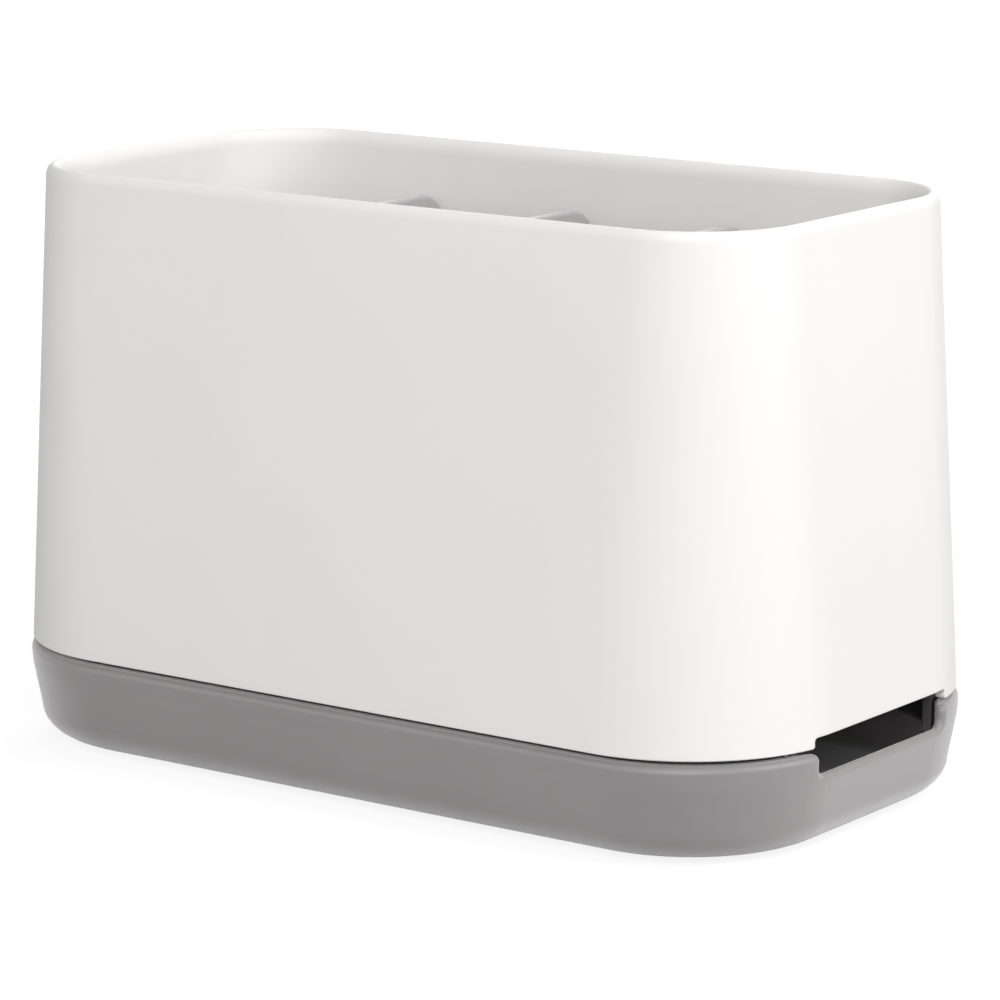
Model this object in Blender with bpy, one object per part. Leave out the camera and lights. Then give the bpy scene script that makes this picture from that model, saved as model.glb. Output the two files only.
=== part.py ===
"""Bathroom organizer: an open sleeve over a vented floor with three dividers, on a drip tray.

Metres, +Z up. The origin is on the ground under the middle of the tray. X runs along
the tray, Y across it, and the front is -Y.
"""
import math

import bmesh
import bpy

MM = 0.001

# Drip tray
TRAY_LENGTH = 184.2 * MM
TRAY_WIDTH = 99.2 * MM
TRAY_CORNER = 32.2 * MM
TRAY_HEIGHT = 19.7 * MM
TRAY_WALL = 3.5 * MM
TRAY_FLOOR = 2.2 * MM
TRAY_RIM_ROUND = 1.3 * MM
TRAY_BAND_HEIGHT = 4.7 * MM
TRAY_BAND_LEAN = 0.2 * MM
TRAY_FOOT_LEAN = 1.85 * MM
TRAY_UNDER_ROUND_WIDE = 8.4 * MM
TRAY_UNDER_ROUND_HIGH = 6.35 * MM
TRAY_INSIDE_ROUND_WIDE = 6.0 * MM
TRAY_INSIDE_ROUND_HIGH = 4.5 * MM
TRAY_NOTCH_WIDTH = 43.0 * MM
TRAY_NOTCH_DEPTH = 4.3 * MM
TRAY_NOTCH_CORNER = 1.8 * MM

# Ledge inside the tray, which carries the floor insert
LEDGE_DROP = 9.5 * MM
LEDGE_BEARING = 1.3 * MM
LEDGE_LIP = 0.5 * MM

# Non-slip feet, pressed into recesses under the tray
FOOT_DIAMETER = 10.0 * MM
FOOT_STAND = 0.8 * MM
FOOT_RECESS = 1.0 * MM
FOOT_EDGE = 0.3 * MM
FOOT_FROM_END = 26.0 * MM
FOOT_FROM_SIDE = 24.0 * MM

# Outer sleeve
SLEEVE_SET_IN = 0.4 * MM
SLEEVE_HEIGHT = 94.7 * MM
SLEEVE_LEAN = 6.1 * MM
SLEEVE_RIM_CORNER = 22.1 * MM
SLEEVE_FOOT_WALL = 2.2 * MM
SLEEVE_FOOT_ROUND = 0.4 * MM
SLEEVE_RIM_WALL = 3.0 * MM
SLEEVE_RIM_OUTSIDE_WIDE = 1.4 * MM
SLEEVE_RIM_OUTSIDE_HIGH = 2.0 * MM
SLEEVE_RIM_INSIDE_HIGH = 3.2 * MM
SLEEVE_NOTCH_MARGIN = 1.3 * MM
SLEEVE_NOTCH_HEIGHT = 1.9 * MM
SLEEVE_NOTCH_CORNER = 0.8 * MM

# Floor insert
FLOOR_ABOVE_RIM = 5.5 * MM
FLOOR_THICKNESS = 2.0 * MM
CURB_WALL = 1.8 * MM
CURB_HEIGHT = 3.0 * MM
CURB_EDGE = 0.5 * MM
WINDOW_MARGIN = 2.0 * MM
WINDOW_CORNER = 1.5 * MM
SOCKET_WALL = 2.0 * MM
SOCKET_HEIGHT = 9.0 * MM
SOCKET_CORNER = 1.5 * MM
SLOT_WIDTH = 3.0 * MM
SLOT_LENGTH = 26.0 * MM
SLOT_LEAST_LENGTH = 6.0 * MM
SLOT_PITCH = 7.0 * MM
SLOT_ROW_GAP = 8.0 * MM
SLOT_MARGIN = 2.5 * MM

# Dividers
DIVIDER_SPACING = 37.0 * MM
DIVIDER_SIDE_GAP = 5.2 * MM
DIVIDER_THICKNESS = 2.6 * MM
DIVIDER_TOP_CORNER = 8.5 * MM
DIVIDER_EDGE = 0.7 * MM
DIVIDER_BELOW_RIM = 10.0 * MM

# Clearances, each between two faces
SEAT_CLEARANCE = 0.3 * MM
INSERT_CLEARANCE = 0.3 * MM
DIVIDER_CLEARANCE = 0.3 * MM
FOOT_CLEARANCE = 0.3 * MM

# Fineness of the meshes
CORNER_STEPS = 12
ROUND_STEPS = 5
SMALL_ROUND_STEPS = 3
EDGE_STEPS = 2
EDGE_ANGLE = math.radians(60.0)
SMOOTH_ANGLE = math.radians(32.0)
FOOT_SIDES = 32

# Heights and places worked out from the sizes above
TRAY_UNDERSIDE = FOOT_STAND
TRAY_RIM = TRAY_UNDERSIDE + TRAY_HEIGHT
TRAY_FLOOR_TOP = TRAY_UNDERSIDE + TRAY_FLOOR
LEDGE = TRAY_RIM - LEDGE_DROP
SLEEVE_FOOT = TRAY_RIM + SEAT_CLEARANCE
SLEEVE_RIM = SLEEVE_FOOT + SLEEVE_HEIGHT
INSERT_FOOT = LEDGE + SEAT_CLEARANCE
FLOOR_TOP = TRAY_RIM + FLOOR_ABOVE_RIM
FLOOR_UNDERSIDE = FLOOR_TOP - FLOOR_THICKNESS
CURB_TOP = FLOOR_TOP + CURB_HEIGHT
DIVIDER_FOOT = FLOOR_TOP + SEAT_CLEARANCE
DIVIDER_TOP = SLEEVE_RIM - DIVIDER_BELOW_RIM
DIVIDER_PLACES = {
    "divider_left": -DIVIDER_SPACING,
    "divider_middle": 0.0,
    "divider_right": DIVIDER_SPACING,
}
SOCKET_HALF_GAP = DIVIDER_THICKNESS / 2 + DIVIDER_CLEARANCE


def srgb(code):
    """A hex colour as the linear values that a shader takes."""
    values = [int(code[i:i + 2], 16) / 255 for i in (0, 2, 4)]
    linear = [v / 12.92 if v <= 0.04045 else ((v + 0.055) / 1.055) ** 2.4 for v in values]
    return (*linear, 1.0)


def plastic(name, code, roughness):
    """A Principled material in one colour, not metallic."""
    material = bpy.data.materials.new(name)
    material.use_nodes = True
    shader = material.node_tree.nodes["Principled BSDF"]
    shader.inputs["Base Color"].default_value = srgb(code)
    shader.inputs["Roughness"].default_value = roughness
    shader.inputs["Metallic"].default_value = 0.0
    return material


def rounded_outline(half_x, half_y, radius, steps=CORNER_STEPS):
    """Points of a rectangle with round corners, anticlockwise, as (x, y)."""
    radius = min(radius, half_x, half_y)
    centres = ((1, 1), (-1, 1), (-1, -1), (1, -1))
    points = []
    for quarter, (side_x, side_y) in enumerate(centres):
        for step in range(steps + 1):
            angle = (quarter + step / steps) * math.pi / 2
            x = side_x * (half_x - radius) + radius * math.cos(angle)
            y = side_y * (half_y - radius) + radius * math.sin(angle)
            points.append((x, y))
    return points


def tray_level(inset, z):
    """The tray's rim outline drawn in by inset, at height z."""
    outline = rounded_outline(TRAY_LENGTH / 2 - inset, TRAY_WIDTH / 2 - inset, TRAY_CORNER - inset)
    return [(x, y, z) for x, y in outline]


def sleeve_share(z):
    """How far up the sleeve the height z lies, from 0 at its foot to 1 at its rim."""
    return (z - SLEEVE_FOOT) / SLEEVE_HEIGHT


def sleeve_wall(z):
    """Thickness of the sleeve's wall at height z."""
    return SLEEVE_FOOT_WALL + (SLEEVE_RIM_WALL - SLEEVE_FOOT_WALL) * sleeve_share(z)


def sleeve_inset(z):
    """How far the sleeve's outer face lies inside the tray's rim outline at height z."""
    return SLEEVE_SET_IN + SLEEVE_LEAN * sleeve_share(z)


def sleeve_level(depth, z):
    """The sleeve's outline at height z, drawn in by depth from its outer face."""
    inset = sleeve_inset(z) + depth
    foot_corner = TRAY_CORNER - SLEEVE_SET_IN
    corner = foot_corner + (SLEEVE_RIM_CORNER - foot_corner) * sleeve_share(z)
    outline = rounded_outline(TRAY_LENGTH / 2 - inset, TRAY_WIDTH / 2 - inset, corner - depth)
    return [(x, y, z) for x, y in outline]


def insert_inset():
    """How far the insert's outer face lies inside the tray's outline: it clears tray and sleeve."""
    in_sleeve = sleeve_inset(CURB_TOP) + sleeve_wall(CURB_TOP)
    return max(TRAY_WALL, in_sleeve) + INSERT_CLEARANCE


def divider_half_width():
    """Half a divider's width: it keeps its side gap to the sleeve where the sleeve is narrowest."""
    in_sleeve = sleeve_inset(DIVIDER_TOP) + sleeve_wall(DIVIDER_TOP)
    return TRAY_WIDTH / 2 - in_sleeve - DIVIDER_SIDE_GAP


def arc(centre_inset, centre_z, wide, high, start, end, steps=ROUND_STEPS):
    """A quarter round in a wall's section, as (inset, z): angle 0 points in, 90 points up."""
    points = []
    for step in range(steps + 1):
        angle = math.radians(start + (end - start) * step / steps)
        points.append((centre_inset + wide * math.cos(angle), centre_z + high * math.sin(angle)))
    return points


def add_loft(bm, rings, closed):
    """Skin a list of rings; a closed loft joins the last to the first, an open one is capped."""
    loops = [[bm.verts.new(point) for point in ring] for ring in rings]
    pairs = list(zip(loops, loops[1:]))
    if closed:
        pairs.append((loops[-1], loops[0]))
    else:
        bm.faces.new(loops[0])
        bm.faces.new(loops[-1])
    for lower, upper in pairs:
        for i in range(len(lower)):
            bm.faces.new((lower[i - 1], lower[i], upper[i], upper[i - 1]))


def add_prism(bm, outline, travel):
    """A prism: an outline of (x, y, z) points in one plane, extruded by the vector travel."""
    base = bm.faces.new([bm.verts.new(point) for point in outline])
    raised = bmesh.ops.extrude_face_region(bm, geom=[base])["geom"]
    verts = [item for item in raised if isinstance(item, bmesh.types.BMVert)]
    bmesh.ops.translate(bm, verts=verts, vec=travel)


def add_upright(bm, outline, low, high):
    """An upright prism over an outline of (x, y) points, between two heights."""
    add_prism(bm, [(x, y, low) for x, y in outline], (0, 0, high - low))


def add_end_bar(bm, width, half_height, z, corner):
    """A bar with rounded edges, centred on height z, that runs out past both ends of the tray."""
    section = rounded_outline(width / 2, half_height, corner, steps=ROUND_STEPS)
    add_prism(bm, [(-TRAY_LENGTH, y, z + up) for y, up in section], (2 * TRAY_LENGTH, 0, 0))


def finish_mesh(bm, name):
    """Turn a bmesh into a mesh with its faces pointing out and its round faces smooth."""
    bmesh.ops.recalc_face_normals(bm, faces=bm.faces)
    mesh = bpy.data.meshes.new(name)
    bm.to_mesh(mesh)
    bm.free()
    mesh.shade_smooth()
    mesh.set_sharp_from_angle(angle=SMOOTH_ANGLE)
    return mesh


def add_piece(name, bm, material, origin=(0, 0, 0)):
    """Put a finished shape in the scene, with its origin at the given point."""
    bmesh.ops.translate(bm, verts=bm.verts, vec=[-value for value in origin])
    mesh = finish_mesh(bm, name)
    mesh.materials.append(material)
    piece = bpy.data.objects.new(name, mesh)
    piece.location = origin
    bpy.context.scene.collection.objects.link(piece)
    return piece


def add_tool(name, bm, piece, operation="DIFFERENCE"):
    """Cut a tool shape out of a piece, or join it on, with a live Boolean modifier."""
    tool = bpy.data.objects.new(name, finish_mesh(bm, name))
    bpy.context.scene.collection.objects.link(tool)
    tool.hide_render = True
    tool.display_type = "WIRE"
    modifier = piece.modifiers.new(name, "BOOLEAN")
    modifier.object = tool
    modifier.operation = operation
    modifier.solver = "EXACT"


def tray_section():
    """The tray's section from the middle of its underside, up outside and down inside."""
    under_high = min(TRAY_UNDER_ROUND_HIGH, TRAY_HEIGHT - TRAY_BAND_HEIGHT - LEDGE_LIP)
    under_top = TRAY_UNDERSIDE + under_high
    under_inset = TRAY_FOOT_LEAN + TRAY_UNDER_ROUND_WIDE
    rim_round_foot = TRAY_RIM - TRAY_RIM_ROUND
    inner_low = insert_inset() + LEDGE_BEARING
    inside_high = min(TRAY_INSIDE_ROUND_HIGH, LEDGE - LEDGE_LIP - TRAY_FLOOR_TOP)
    inside_inset = inner_low + TRAY_INSIDE_ROUND_WIDE
    section = arc(under_inset, under_top, TRAY_UNDER_ROUND_WIDE, under_high, 270, 180)
    section.append((TRAY_BAND_LEAN, TRAY_RIM - TRAY_BAND_HEIGHT))
    section += arc(TRAY_RIM_ROUND, rim_round_foot, TRAY_RIM_ROUND, TRAY_RIM_ROUND, 180, 90)
    section.append((TRAY_WALL, TRAY_RIM))
    section.append((TRAY_WALL, LEDGE))
    section.append((inner_low, LEDGE))
    section += arc(inside_inset, TRAY_FLOOR_TOP + inside_high,
                   TRAY_INSIDE_ROUND_WIDE, inside_high, 180, 270)
    return section


def foot_places():
    """Names and middles of the four feet."""
    x = TRAY_LENGTH / 2 - FOOT_FROM_END
    y = TRAY_WIDTH / 2 - FOOT_FROM_SIDE
    return {
        "foot_front_left": (-x, -y),
        "foot_front_right": (x, -y),
        "foot_rear_left": (-x, y),
        "foot_rear_right": (x, y),
    }


def disc_outline(centre, radius):
    """A circle of points round a centre, anticlockwise."""
    turn = 2 * math.pi / FOOT_SIDES
    return [(centre[0] + radius * math.cos(i * turn), centre[1] + radius * math.sin(i * turn))
            for i in range(FOOT_SIDES)]


def make_drip_tray(material):
    """Shallow tray with a notch in each end and four recesses underneath."""
    bm = bmesh.new()
    add_loft(bm, [tray_level(inset, z) for inset, z in tray_section()], closed=False)
    tray = add_piece("drip_tray", bm, material)

    notches = bmesh.new()
    add_end_bar(notches, TRAY_NOTCH_WIDTH, TRAY_NOTCH_DEPTH, TRAY_RIM, TRAY_NOTCH_CORNER)
    add_tool("cut_tray_notches", notches, tray)

    recesses = bmesh.new()
    for centre in foot_places().values():
        outline = disc_outline(centre, FOOT_DIAMETER / 2 + FOOT_CLEARANCE)
        add_upright(recesses, outline, TRAY_UNDERSIDE - FOOT_RECESS, TRAY_UNDERSIDE + FOOT_RECESS)
    add_tool("cut_foot_recesses", recesses, tray)


def make_feet(material):
    """Four discs, each seated in its recess, with a small chamfer on the lower edge."""
    top = TRAY_UNDERSIDE + FOOT_RECESS - FOOT_CLEARANCE
    radius = FOOT_DIAMETER / 2
    for name, centre in foot_places().items():
        rings = []
        for size, z in ((radius - FOOT_EDGE, 0), (radius, FOOT_EDGE), (radius, top)):
            rings.append([(x, y, z) for x, y in disc_outline(centre, size)])
        bm = bmesh.new()
        add_loft(bm, rings, closed=False)
        add_piece(name, bm, material, origin=(*centre, 0))


def make_outer_sleeve(material):
    """Open sleeve: a wall with a rounded rim, narrower at the top, notched in both ends."""
    outer_top = SLEEVE_RIM - SLEEVE_RIM_OUTSIDE_HIGH
    inner_top = SLEEVE_RIM - SLEEVE_RIM_INSIDE_HIGH
    inside_wide = SLEEVE_RIM_WALL - SLEEVE_RIM_OUTSIDE_WIDE
    section = arc(SLEEVE_FOOT_ROUND, SLEEVE_FOOT + SLEEVE_FOOT_ROUND,
                  SLEEVE_FOOT_ROUND, SLEEVE_FOOT_ROUND, 270, 180, steps=EDGE_STEPS)
    section += arc(SLEEVE_RIM_OUTSIDE_WIDE, outer_top,
                   SLEEVE_RIM_OUTSIDE_WIDE, SLEEVE_RIM_OUTSIDE_HIGH, 180, 90)
    section += arc(SLEEVE_RIM_OUTSIDE_WIDE, inner_top,
                   inside_wide, SLEEVE_RIM_INSIDE_HIGH, 90, 0)[1:]
    section.append((SLEEVE_FOOT_WALL, SLEEVE_FOOT))
    bm = bmesh.new()
    add_loft(bm, [sleeve_level(depth, z) for depth, z in section], closed=True)
    sleeve = add_piece("outer_sleeve", bm, material, origin=(0, 0, SLEEVE_FOOT))

    notches = bmesh.new()
    width = TRAY_NOTCH_WIDTH + 2 * SLEEVE_NOTCH_MARGIN
    add_end_bar(notches, width, SLEEVE_NOTCH_HEIGHT, SLEEVE_FOOT, SLEEVE_NOTCH_CORNER)
    add_tool("cut_sleeve_notches", notches, sleeve)


def slot_columns():
    """The middles of the drain slots along X, spread evenly over each compartment's floor."""
    outer = TRAY_LENGTH / 2 - insert_inset() - CURB_WALL
    socket = SOCKET_HALF_GAP + SOCKET_WALL
    walls = [-outer]
    for place in DIVIDER_PLACES.values():
        walls += [place - socket, place + socket]
    walls.append(outer)
    columns = []
    for low, high in zip(walls[::2], walls[1::2]):
        room = high - low - 2 * SLOT_MARGIN - SLOT_WIDTH
        count = math.floor(room / SLOT_PITCH) + 1
        first = (low + high) / 2 - SLOT_PITCH * (count - 1) / 2
        columns += [first + SLOT_PITCH * i for i in range(count)]
    return columns


def slot_reach(x):
    """How far from the middle line a slot at x may reach before it meets the curb's margin."""
    inset = insert_inset() + CURB_WALL + SLOT_MARGIN
    corner = TRAY_CORNER - inset
    half_y = TRAY_WIDTH / 2 - inset
    past = max(abs(x) + SLOT_WIDTH / 2 - (TRAY_LENGTH / 2 - inset - corner), 0)
    edge = half_y - corner + math.sqrt(max(corner ** 2 - past ** 2, 0))
    return min(edge, SLOT_ROW_GAP / 2 + SLOT_LENGTH)


def slot_outline(x, low, high):
    """A slot along Y with round ends, as (x, y) points."""
    radius = SLOT_WIDTH / 2
    points = []
    for centre, start in ((high - radius, 0), (low + radius, math.pi)):
        for step in range(ROUND_STEPS + 1):
            angle = start + math.pi * step / ROUND_STEPS
            points.append((x + radius * math.cos(angle), centre + radius * math.sin(angle)))
    return points


def make_floor_insert(material):
    """Vented floor in a low curb, standing on the tray's ledge, with a socket for each divider."""
    outer = insert_inset()
    inner = outer + CURB_WALL
    section = [
        (inner, FLOOR_TOP),
        (inner, CURB_TOP - CURB_EDGE),
        (inner - CURB_EDGE, CURB_TOP),
        (outer + CURB_EDGE, CURB_TOP),
        (outer, CURB_TOP - CURB_EDGE),
        (outer, INSERT_FOOT),
        (inner, INSERT_FOOT),
        (inner, FLOOR_UNDERSIDE),
    ]
    bm = bmesh.new()
    add_loft(bm, [tray_level(inset, z) for inset, z in section], closed=False)
    insert = add_piece("floor_insert", bm, material, origin=(0, 0, INSERT_FOOT))

    socket_half_length = divider_half_width() + DIVIDER_CLEARANCE
    sockets = bmesh.new()
    gaps = bmesh.new()
    for place in DIVIDER_PLACES.values():
        outline = rounded_outline(SOCKET_HALF_GAP + SOCKET_WALL, socket_half_length + SOCKET_WALL,
                                  SOCKET_CORNER, steps=SMALL_ROUND_STEPS)
        outline = [(x + place, y) for x, y in outline]
        add_upright(sockets, outline, FLOOR_TOP - FLOOR_THICKNESS / 2, FLOOR_TOP + SOCKET_HEIGHT)
        corners = ((1, 1), (-1, 1), (-1, -1), (1, -1))
        outline = [(place + side_x * SOCKET_HALF_GAP, side_y * socket_half_length)
                   for side_x, side_y in corners]
        add_upright(gaps, outline, FLOOR_TOP, FLOOR_TOP + 2 * SOCKET_HEIGHT)
    add_tool("join_divider_sockets", sockets, insert, "UNION")
    add_tool("cut_divider_gaps", gaps, insert)

    slots = bmesh.new()
    near = SLOT_ROW_GAP / 2
    for x in slot_columns():
        far = slot_reach(x)
        if far - near < SLOT_LEAST_LENGTH:
            continue
        for low, high in ((near, far), (-far, -near)):
            outline = slot_outline(x, low, high)
            add_upright(slots, outline, FLOOR_UNDERSIDE - FLOOR_THICKNESS, FLOOR_TOP + FLOOR_THICKNESS)
    add_tool("cut_drain_slots", slots, insert)

    windows = bmesh.new()
    width = TRAY_NOTCH_WIDTH + 2 * WINDOW_MARGIN
    add_end_bar(windows, width, FLOOR_UNDERSIDE - INSERT_FOOT, INSERT_FOOT, WINDOW_CORNER)
    add_tool("cut_end_windows", windows, insert)


def make_dividers(material):
    """Upright panels with round top corners, each standing in its socket."""
    half = divider_half_width()
    corner = min(DIVIDER_TOP_CORNER, half)
    outline = [(-half, DIVIDER_FOOT), (half, DIVIDER_FOOT)]
    for side, start in ((1, 0), (-1, 90)):
        for step in range(CORNER_STEPS + 1):
            angle = math.radians(start + 90 * step / CORNER_STEPS)
            y = side * (half - corner) + corner * math.cos(angle)
            z = DIVIDER_TOP - corner + corner * math.sin(angle)
            outline.append((y, z))
    for name, place in DIVIDER_PLACES.items():
        face = place - DIVIDER_THICKNESS / 2
        bm = bmesh.new()
        add_prism(bm, [(face, y, z) for y, z in outline], (DIVIDER_THICKNESS, 0, 0))
        divider = add_piece(name, bm, material, origin=(place, 0, DIVIDER_FOOT))
        bevel = divider.modifiers.new("soft_edges", "BEVEL")
        bevel.width = DIVIDER_EDGE
        bevel.segments = EDGE_STEPS
        bevel.limit_method = "ANGLE"
        bevel.angle_limit = EDGE_ANGLE


def main():
    for old in list(bpy.data.objects):
        bpy.data.objects.remove(old, do_unlink=True)
    white = plastic("white_satin_plastic", "F2F1EF", 0.42)
    grey = plastic("grey_satin_plastic", "8F8B8C", 0.45)
    rubber = plastic("grey_rubber", "6E6B6C", 0.85)
    make_drip_tray(grey)
    make_feet(rubber)
    make_outer_sleeve(white)
    make_floor_insert(grey)
    make_dividers(grey)


main()
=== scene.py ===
# Bathroom organizer: the finish of every piece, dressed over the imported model.
import math

import bmesh
import bpy
from mathutils import Matrix, Vector


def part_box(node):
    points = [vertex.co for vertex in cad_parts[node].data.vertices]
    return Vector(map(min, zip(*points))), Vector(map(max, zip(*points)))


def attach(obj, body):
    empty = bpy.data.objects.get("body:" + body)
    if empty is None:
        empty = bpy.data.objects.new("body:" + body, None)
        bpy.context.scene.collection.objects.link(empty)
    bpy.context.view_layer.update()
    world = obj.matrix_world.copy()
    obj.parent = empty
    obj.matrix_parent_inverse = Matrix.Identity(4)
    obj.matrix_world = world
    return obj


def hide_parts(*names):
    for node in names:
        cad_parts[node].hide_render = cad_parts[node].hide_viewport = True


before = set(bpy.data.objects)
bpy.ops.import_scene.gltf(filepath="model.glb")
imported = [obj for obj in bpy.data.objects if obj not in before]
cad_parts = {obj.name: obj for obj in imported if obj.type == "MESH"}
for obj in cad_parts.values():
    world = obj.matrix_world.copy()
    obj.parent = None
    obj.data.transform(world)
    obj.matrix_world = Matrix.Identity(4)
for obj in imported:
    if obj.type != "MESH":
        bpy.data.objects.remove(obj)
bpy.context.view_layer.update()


# Drip tray
# A shallow tray, injection moulded in grey polypropylene. Its rim is rounded, with a notch at
# each end, where the wall is thinner, and four small studs that the sleeve stands on. A step
# inside the wall carries the vented floor, and four pockets underneath take the rubber feet.
MM = 0.001
TRAY_HALF_LENGTH = 92.1 * MM
TRAY_CORNER = 32.2 * MM
TRAY_WALL = 3.5 * MM
TRAY_FLOOR = 2.2 * MM
TRAY_RIM_ROUND = 1.3 * MM
TRAY_RIM_INSIDE_ROUND = 0.5 * MM
TRAY_BAND_HEIGHT = 4.7 * MM
TRAY_BAND_LEAN = 0.2 * MM
TRAY_FOOT_LEAN = 1.85 * MM
TRAY_UNDER_ROUND_WIDE = 8.4 * MM
TRAY_UNDER_ROUND_HIGH = 6.35 * MM
TRAY_INSIDE_ROUND_WIDE = 6.0 * MM
TRAY_INSIDE_ROUND_HIGH = 4.5 * MM
TRAY_NOTCH_HALF_WIDTH = 21.5 * MM
TRAY_NOTCH_DEPTH = 4.3 * MM
TRAY_NOTCH_INSIDE_CORNER = 1.8 * MM
TRAY_NOTCH_OUTSIDE_CORNER = 1.5 * MM
TRAY_NOTCH_WALL = 2.1 * MM
TRAY_THIN_TO = 22.5 * MM
TRAY_PLAIN_FROM = 26.5 * MM
TRAY_BLEND_DEPTH = 8.0 * MM
LEDGE_DROP = 9.5 * MM
LEDGE_WIDTH = 1.6 * MM
LEDGE_ROUND = 0.4 * MM
STUD_HEIGHT = 0.8 * MM
STUD_RADIUS = 0.3 * MM
STUD_INSET = 2.3 * MM
STUD_TURN = math.radians(20.0)
POCKET_DEPTH = 1.0 * MM
POCKET_CLEARANCE = 0.3 * MM
LEVELS_UNDER_CREASE = (6.9 * MM, 5.8 * MM, 4.8 * MM)
LEVELS_OVER_CREASE = (3.0 * MM, 2.2 * MM)
THINNED_SHARES = (0.3, 0.6)
DISC_SIDES = 48
STUD_SIDES = 16
ROUND_STEPS = 8
SMALL_ROUND_STEPS = 4
NOTCH_SIDE_STEPS = 7
NOTCH_CORNER_STEPS = 6
NOTCH_REACH = 12.0 * MM
NOTCH_FAN = 0.55
END_STEPS = 2
BEND_STEPS = 20
SIDE_STEPS = 10
WELD = 0.01 * MM
SLIVER = 0.005 * MM
SMOOTH_ANGLE = math.radians(35.0)
ROUNDED_ANGLE = math.radians(60.0)
GREY_LIGHT = "908B8C"
GREY_DEEP = "8C8788"
GREY_ROUGHNESS = 0.42
GREY_SHEEN = 1.0
PLASTIC_IOR = 1.49
CLOUD_SIZE = 35.0 * MM
CLOUD_STOPS = (0.3, 0.7)
POLISH_SIZE = 9.0 * MM
POLISH_DRIFT = 0.03
SINK_SIZE = 20.0 * MM
SINK_DEPTH = 0.04 * MM
GRAIN_SIZE = 0.4 * MM
GRAIN_DEPTH = 0.01 * MM
PLASTIC_BUMP = 0.5

tray_low, tray_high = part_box("drip_tray")
foot_low, foot_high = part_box("foot_rear_right")
tray_rim = tray_high.z - STUD_HEIGHT
tray_plan = {"Length": TRAY_HALF_LENGTH, "Width": tray_high.y, "Corner": TRAY_CORNER}
foot_spread = {"Length": foot_low.x + foot_high.x, "Width": foot_low.y + foot_high.y}
foot_radius = (foot_high.x - foot_low.x) / 2


def srgb(code):
    """A hex colour as the linear values that a shader takes."""
    values = [int(code[place:place + 2], 16) / 255 for place in (0, 2, 4)]
    return (*[value / 12.92 if value <= 0.04045 else ((value + 0.055) / 1.055) ** 2.4
              for value in values], 1.0)


def add_node(tree, kind, settings=(), feeds=()):
    """Add a node: settings are its properties, and feeds go to its inputs by name or number."""
    node = tree.nodes.new(kind)
    for name, value in dict(settings).items():
        setattr(node, name, value)
    for socket, value in dict(feeds).items():
        if isinstance(value, bpy.types.Node):
            value = value.outputs[0]
        if isinstance(value, bpy.types.NodeSocket):
            tree.links.new(value, node.inputs[socket])
        else:
            node.inputs[socket].default_value = value
    return node


def moulded_plastic(name, light, deep, roughness, sheen):
    """Polypropylene from a mould with a finely eroded face: satin, and even to the eye.

    The melt leaves faint clouds some 35 mm across, the polish of the mould drifts over about
    9 mm, and over 20 mm the face sinks and swells by a few hundredths of a millimetre. The
    eroded grain is about 0.05 mm on the real piece, too fine to show, so it is drawn at 0.4 mm.
    The sheen is the light that the grain scatters on at a low angle.
    """
    material = bpy.data.materials.new(name)
    material.use_nodes = True
    tree = material.node_tree
    shader = tree.nodes["Principled BSDF"]
    shader.inputs["IOR"].default_value = PLASTIC_IOR
    shader.inputs["Sheen Weight"].default_value = sheen
    place = add_node(tree, "ShaderNodeTexCoord").outputs["Object"]
    clouds = add_node(tree, "ShaderNodeTexNoise", feeds={"Vector": place, "Scale": 1 / CLOUD_SIZE})
    colours = add_node(tree, "ShaderNodeValToRGB", feeds={"Fac": clouds})
    for stop, position, code in zip(colours.color_ramp.elements, CLOUD_STOPS, (deep, light)):
        stop.position = position
        stop.color = srgb(code)
    polish = add_node(tree, "ShaderNodeTexNoise", feeds={"Vector": place, "Scale": 1 / POLISH_SIZE})
    gloss = add_node(tree, "ShaderNodeMapRange",
                     feeds={"Value": polish, "To Min": roughness - POLISH_DRIFT,
                            "To Max": roughness + POLISH_DRIFT})
    sink = add_node(tree, "ShaderNodeTexNoise",
                    feeds={"Vector": place, "Scale": 1 / SINK_SIZE, "Detail": 1.0})
    sunk = add_node(tree, "ShaderNodeBump",
                    feeds={"Height": sink, "Strength": PLASTIC_BUMP, "Distance": SINK_DEPTH})
    grain = add_node(tree, "ShaderNodeTexNoise",
                     feeds={"Vector": place, "Scale": 1 / GRAIN_SIZE, "Detail": 1.0})
    grained = add_node(tree, "ShaderNodeBump",
                       feeds={"Height": grain, "Strength": PLASTIC_BUMP, "Distance": GRAIN_DEPTH,
                              "Normal": sunk})
    tree.links.new(colours.outputs["Color"], shader.inputs["Base Color"])
    tree.links.new(gloss.outputs["Result"], shader.inputs["Roughness"])
    tree.links.new(grained.outputs["Normal"], shader.inputs["Normal"])
    return material


def start_tree(name, sizes):
    """A Geometry Nodes tree whose inputs are a geometry, these sizes and a material."""
    tree = bpy.data.node_groups.new(name, "GeometryNodeTree")
    tree.interface.new_socket("Geometry", in_out="OUTPUT", socket_type="NodeSocketGeometry")
    tree.interface.new_socket("Geometry", in_out="INPUT", socket_type="NodeSocketGeometry")
    for size in sizes:
        tree.interface.new_socket(size, in_out="INPUT", socket_type="NodeSocketFloat")
    tree.interface.new_socket("Material", in_out="INPUT", socket_type="NodeSocketMaterial")
    return tree, add_node(tree, "NodeGroupInput").outputs


def end_tree(tree, geometry, material):
    """Close a tree: real geometry, all in the one material."""
    real = add_node(tree, "GeometryNodeRealizeInstances", feeds={0: geometry})
    painted = add_node(tree, "GeometryNodeSetMaterial",
                       feeds={"Geometry": real, "Material": material})
    add_node(tree, "NodeGroupOutput", feeds={0: painted})


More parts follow.
